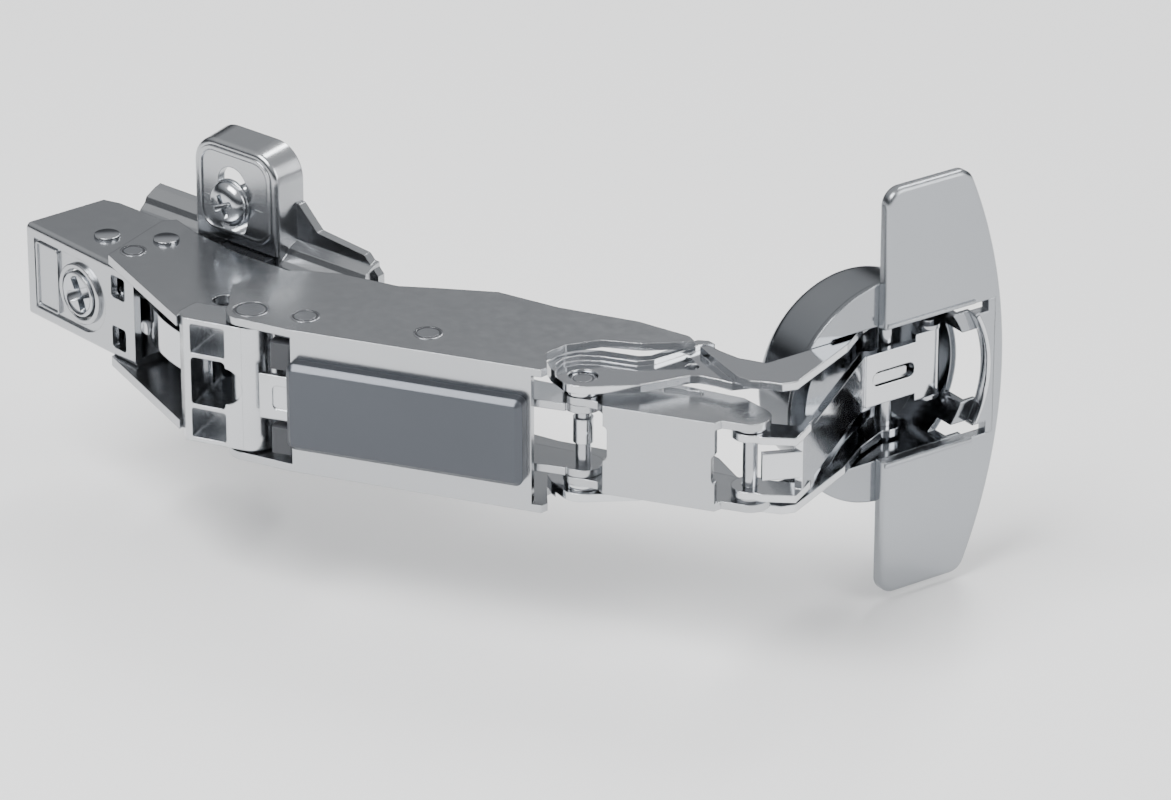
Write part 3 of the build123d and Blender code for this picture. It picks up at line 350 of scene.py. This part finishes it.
# mounting plate: pressed border on each wing and setting marks beside the screws
plateSurface, screwHeight = (0, -6.0), 16.0
wing = {"low": (-7.6, 9.9), "high": (8.8, 25.2), "width": 0.9, "rise": 0.32, "edge": 0.14, "corner": 3.6}
marks = {"long": 1.5, "wide": 0.32, "rise": 0.12, "edge": 0.04, "places": (-6.2, 5.2)}
for end, flip in (("Upper", 1), ("Lower", -1)):
    work = bmesh.new()
    outline = block((wing["low"][0], flip * wing["low"][1]), (wing["high"][0], flip * wing["high"][1]))
    ringFrom(work, outline, wing["width"], wing["rise"], wing["edge"], wing["corner"])
    finishPiece("wingBorder" + end, work, facing(plateSurface, 0), "plate", "nickel_steel")
    for index, start in enumerate(marks["places"]):
        work = bmesh.new()
        middle, half = flip * screwHeight, marks["wide"] / 2
        plateFrom(work, block((start, middle - half), (start + marks["long"], middle + half)),
                  marks["rise"], marks["edge"])
        finishPiece(f"settingMark{end}{index}", work, facing(plateSurface, 0), "plate", "nickel_steel")
print("mounting plate dressed")


def pressCross(work, cross):
    # a cross recess in a crown: cut along the arms' edges, sunk deeper to the middle, walls tapering in
    turned = Matrix.Rotation(math.radians(cross["turn"]), 4, "Z")
    for side in ((1, 0, 0), (0, 1, 0)):
        across = turned @ Vector(side)
        for offset in (-cross["half"], cross["half"]):
            geometry = work.verts[:] + work.edges[:] + work.faces[:]
            bmesh.ops.bisect_plane(work, geom=geometry, dist=1e-5, plane_co=across * offset, plane_no=across)
    arms = []
    for face in work.faces:
        middle = turned.inverted() @ face.calc_center_median()
        onArm = min(abs(middle.x), abs(middle.y)) < cross["half"]
        if onArm and middle.xy.length < cross["reach"] and middle.z > cross["floor"]:
            arms.append(face)
    sunk = bmesh.ops.extrude_face_region(work, geom=arms)["geom"]
    bmesh.ops.delete(work, geom=arms, context="FACES")
    for vert in only(bmesh.types.BMVert, sunk):
        vert.co.z = cross["floor"] + cross["slope"] * vert.co.xy.length
        vert.co.xy *= cross["taper"]


screwShape = {"crown": [(0, 2.60), (0.7, 2.59), (1.4, 2.55), (2.1, 2.46), (2.6, 2.33), (3.1, 2.08),
                        (3.5, 1.74), (3.8, 1.32), (3.95, 0.92), (3.98, 0.58), (4.1, 0.52), (4.15, 0.4),
                        (4.15, 0.0), (2.1, 0.0)],
              "shank": [(2.1, 0.0), (2.1, -12.4), (1.5, -13.0), (0, -13.0)], "around": 60}
screwCross = {"turn": 25, "half": 0.5, "reach": 2.1, "floor": 0.9, "slope": 0.45, "taper": 0.72}
thread = {"foot": 2.06, "crest": 2.48, "half": 0.42, "top": -6.9, "pitch": 1.25, "turns": 4, "steps": 24}
for end, flip in (("Upper", 1), ("Lower", -1)):
    work = bmesh.new()
    turnProfile(work, screwShape["crown"], screwShape["around"])
    pressCross(work, screwCross)
    turnProfile(work, screwShape["shank"], screwShape["around"])
    foot, crest, half, top = thread["foot"], thread["crest"], thread["half"], thread["top"]
    corners = ((foot, 0, top + half), (crest, 0, top), (foot, 0, top - half))
    ridge = [work.verts.new(point) for point in corners]
    face = bmesh.ops.contextual_create(work, geom=ridge)["faces"]
    bmesh.ops.spin(work, geom=face + ridge, cent=(0, 0, 0), axis=(0, 0, 1),
                   dvec=(0, 0, -thread["pitch"] / thread["steps"]), angle=math.tau * thread["turns"],
                   steps=thread["steps"] * thread["turns"])
    piece = finishPiece("plateScrew" + end, work, facing(plateSurface, 0, flip * screwHeight),
                        "plate", "screw_steel", 30)
    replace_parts(piece, "plate_screw_" + end.lower())
print("screws turned, recessed and threaded")

# depth cam: dished head with a deep cross, shank and eccentric tip
boxStart, boxTurn = (-32.4, -22.1), -7.7
camAlong = 13.9
camShape = {"head": [(0, 0.12), (1.5, 0.14), (3.1, 0.22), (3.35, 0.42), (3.6, 0.5), (3.85, 0.42), (4.0, 0.15),
                     (4.0, -3.7), (2.0, -3.7)], "around": 60,
            "shank": [(2.0, -3.7), (2.0, -17.9), (0, -17.9)],
            "tip": [(0, -17.7), (1.5, -17.7), (1.5, -21.1), (1.3, -21.3), (0, -21.3)], "throw": -1.5}
camCross = {"turn": 25, "half": 0.9, "reach": 3.1, "floor": -2.8, "slope": 0.3, "taper": 0.7}
work = bmesh.new()
turnProfile(work, camShape["tip"])
bmesh.ops.translate(work, vec=(0, camShape["throw"], 0), verts=work.verts)
turnProfile(work, camShape["shank"])
turnProfile(work, camShape["head"], camShape["around"])
pressCross(work, camCross)
camSeat = facing(boxStart, boxTurn) @ shifted(camAlong, 0, 0)
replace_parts(finishPiece("depthCamTurned", work, camSeat, "cam", "screw_steel", 30), "depth_cam")
print("depth cam turned and recessed")

# adjuster box: a collar round the cam and a bevelled border round the bare badge
collar = [(4.45, -0.5), (4.45, 0.12), (4.6, 0.22), (5.15, 0.22), (5.35, 0.05), (5.35, -0.5), (4.45, -0.5)]
badge = {"low": (2.2, -5.9), "high": (8.1, 5.9), "sunk": -0.5, "width": 0.35, "rise": 0.55,
         "edge": 0.1, "corner": 0.6, "steps": 3}
work = bmesh.new()
turnProfile(work, collar)
finishPiece("camCollar", work, camSeat, "arm", "nickel_steel")
work = bmesh.new()
ringFrom(work, block(badge["low"], badge["high"]), badge["width"], badge["rise"], badge["edge"],
         badge["corner"], badge["steps"])
finishPiece("badgeBorder", work, facing(boxStart, boxTurn) @ shifted(0, 0, badge["sunk"]),
            "arm", "nickel_steel")
print("adjuster box dressed")

# cup cover: the opening's bulging side filled up to a round edge, with a rolled bead on it
cupCentre, doorTurn = (106.2, 33.7), 75.0
seat = facing(cupCentre, doorTurn)
coverFill = {"edge": 19.0, "outer": 20.35, "half": 12.1, "slotFrom": 9.95, "slotTo": 18.95,
             "low": 0.92, "high": 2.8, "steps": 28}
bead = {"width": 0.7, "rise": 0.28, "end": 9.8, "around": 32}
inner, top, rise = coverFill["edge"], coverFill["high"], bead["rise"]
swing = math.asin(coverFill["slotFrom"] / inner)
angles = [swing * (1 - 2 * i / coverFill["steps"]) for i in range(coverFill["steps"] + 1)]
corner = [(coverFill["slotTo"], coverFill["slotFrom"]), (coverFill["slotTo"], coverFill["half"]),
          (coverFill["outer"], coverFill["half"])]
arc = [(inner * math.cos(angle), inner * math.sin(angle)) for angle in angles]
outline = [(x, -y) for x, y in corner] + corner[::-1] + arc
work = bmesh.new()
plateFrom(work, outline, top - coverFill["low"], 0)
finishPiece("coverArc", work, seat @ shifted(0, 0, coverFill["low"]), "cup", "satin_cover")
section = [(inner + 0.02, top - 1.7), (inner - 0.12, top - 0.5), (inner - 0.06, top + rise * 0.3),
           (inner + 0.12, top + rise * 0.85), (inner + 0.35, top + rise),
           (inner + bead["width"] - 0.15, top + rise * 0.6), (inner + bead["width"], top - 0.05),
           (inner + 0.3, top - 1.7)]
swing = math.asin(bead["end"] / (inner + bead["width"]))
work = bmesh.new()
verts = [work.verts.new((radius * math.cos(-swing), radius * math.sin(-swing), height))
         for radius, height in section]
face = bmesh.ops.contextual_create(work, geom=verts)["faces"]
bmesh.ops.spin(work, geom=face + verts, cent=(0, 0, 0), axis=(0, 0, 1), angle=2 * swing, steps=bead["around"])
# the rolled bead is real; its bright-nickel finish, lighter than the satin cover, is a painted highlight
# along the edge
finishPiece("coverArcBeadPaintedHighlight", work, seat, "cup", "bright_nickel", 50)

# beads along the cover's straight sides
sideBead = {"from": -1.7, "to": 16.0, "side": 12.05, "width": 0.7, "edge": 0.12}
for end, flip in (("Upper", 1), ("Lower", -1)):
    near, far = flip * sideBead["side"], flip * (sideBead["side"] + sideBead["width"])
    work = bmesh.new()
    plateFrom(work, block((sideBead["from"], near), (sideBead["to"], far)), rise, sideBead["edge"])
    finishPiece("coverSideBead" + end, work, seat @ shifted(0, 0, top), "cup", "satin_cover")

# lanced tab in the tongue's slot
tab = {"low": (0.3, -1.0), "high": (7.3, 1.0), "thick": 1.0, "edge": 0.15, "corner": 0.5, "sunk": -4.45}
work = bmesh.new()
plateFrom(work, block(tab["low"], tab["high"]), tab["thick"], tab["edge"], tab["corner"], 3)
finishPiece("tongueTab", work, seat @ shifted(0, 0, tab["sunk"]), "inner", "bright_nickel")
print("cover dressed")

# camera at the photograph's place
photoView = {"azimuth": 40.3, "elevation": 25.5, "focal": 6343.0, "centre": (588.0, 400.0),
             "originPixel": (259.4, 278.6), "originDepth": 1.0625, "width": 1171, "height": 800}
azimuth = math.radians(photoView["azimuth"])
elevation = math.radians(photoView["elevation"])
back = Vector((math.sin(azimuth) * math.cos(elevation), -math.cos(azimuth) * math.cos(elevation),
               math.sin(elevation)))
right = Vector((math.cos(azimuth), math.sin(azimuth), 0))
up = back.cross(right)
perPixel = photoView["originDepth"] / photoView["focal"]
cameraData = bpy.data.cameras.new("photoCamera")
camera = bpy.data.objects.new("photoCamera", cameraData)
bpy.context.scene.collection.objects.link(camera)
camera.matrix_world = Matrix.Translation(
    back * photoView["originDepth"]
    - right * (photoView["originPixel"][0] - photoView["centre"][0]) * perPixel
    + up * (photoView["originPixel"][1] - photoView["centre"][1]) * perPixel
) @ Matrix((right, up, back)).transposed().to_4x4()
sensorMm = 36
cameraData.sensor_width = sensorMm
cameraData.lens = photoView["focal"] * sensorMm / photoView["width"]
cameraData.shift_x = (photoView["width"] / 2 - photoView["centre"][0]) / photoView["width"]
cameraData.clip_start = 0.05
cameraData.clip_end = 20
bpy.context.scene.camera = camera

# pale floor just under the lowest point, and soft studio light
studio = {"floorHalf": 3.0, "floorHeight": -0.0375, "floorTone": "#F6F6F6", "floorRoughness": 0.9,
          "skyStrength": 0.75}
floorWork = bmesh.new()
bmesh.ops.create_grid(floorWork, x_segments=1, y_segments=1, size=studio["floorHalf"])
floorMesh = bpy.data.meshes.new("studioFloor")
floorWork.to_mesh(floorMesh)
floorWork.free()
floor = bpy.data.objects.new("studioFloor", floorMesh)
floor.location = (0, 0, studio["floorHeight"])
bpy.context.scene.collection.objects.link(floor)
floorLook = bpy.data.materials.new("matPaper")
floorLook.use_nodes = True
paper = floorLook.node_tree.nodes["Principled BSDF"]
paper.inputs["Base Color"].default_value = hexToLinear(studio["floorTone"])
paper.inputs["Roughness"].default_value = studio["floorRoughness"]
floorMesh.materials.append(floorLook)

world = bpy.data.worlds.new("studio")
bpy.context.scene.world = world
world.use_nodes = True
skyTree = world.node_tree
skyPlace = addNode(skyTree, "ShaderNodeTexCoord")
skyHeight = addNode(skyTree, "ShaderNodeSeparateXYZ", links={"Vector": skyPlace.outputs["Generated"]})
skyRamp = addNode(skyTree, "ShaderNodeValToRGB", links={"Fac": skyHeight.outputs["Z"]})
skyStops = ((0.0, "#6A6C70"), (0.22, "#484A4E"), (0.45, "#CED0D3"), (0.75, "#F4F5F6"))
for index, (height, tone) in enumerate(skyStops):
    stop = skyRamp.color_ramp.elements[index] if index < 2 else skyRamp.color_ramp.elements.new(height)
    stop.position = height
    stop.color = hexToLinear(tone)
skyTree.links.new(skyRamp.outputs["Color"], skyTree.nodes["Background"].inputs["Color"])
skyTree.nodes["Background"].inputs["Strength"].default_value = studio["skyStrength"]

studioLights = {
    "keySoftbox": {"azimuth": -8, "elevation": 58, "distance": 0.8, "size": (0.55, 0.40), "power": 9.0},
    "fillSoftbox": {"azimuth": 105, "elevation": 24, "distance": 0.9, "size": (0.50, 0.60), "power": 5.0},
    "rimStrip": {"azimuth": 200, "elevation": 48, "distance": 0.9, "size": (0.15, 0.60), "power": 4.0},
}
target = (cadLow + cadHigh) / 2
for name, light in studioLights.items():
    data = bpy.data.lights.new(name, "AREA")
    data.shape = "RECTANGLE"
    data.size, data.size_y = light["size"]
    data.energy = light["power"]
    lamp = bpy.data.objects.new(name, data)
    turn, rise = math.radians(light["azimuth"]), math.radians(light["elevation"])
    direction = Vector((math.sin(turn) * math.cos(rise), -math.cos(turn) * math.cos(rise), math.sin(rise)))
    lamp.location = target + direction * light["distance"]
    lamp.rotation_euler = direction.to_track_quat("Z", "Y").to_euler()
    bpy.context.scene.collection.objects.link(lamp)
print("camera and light set")
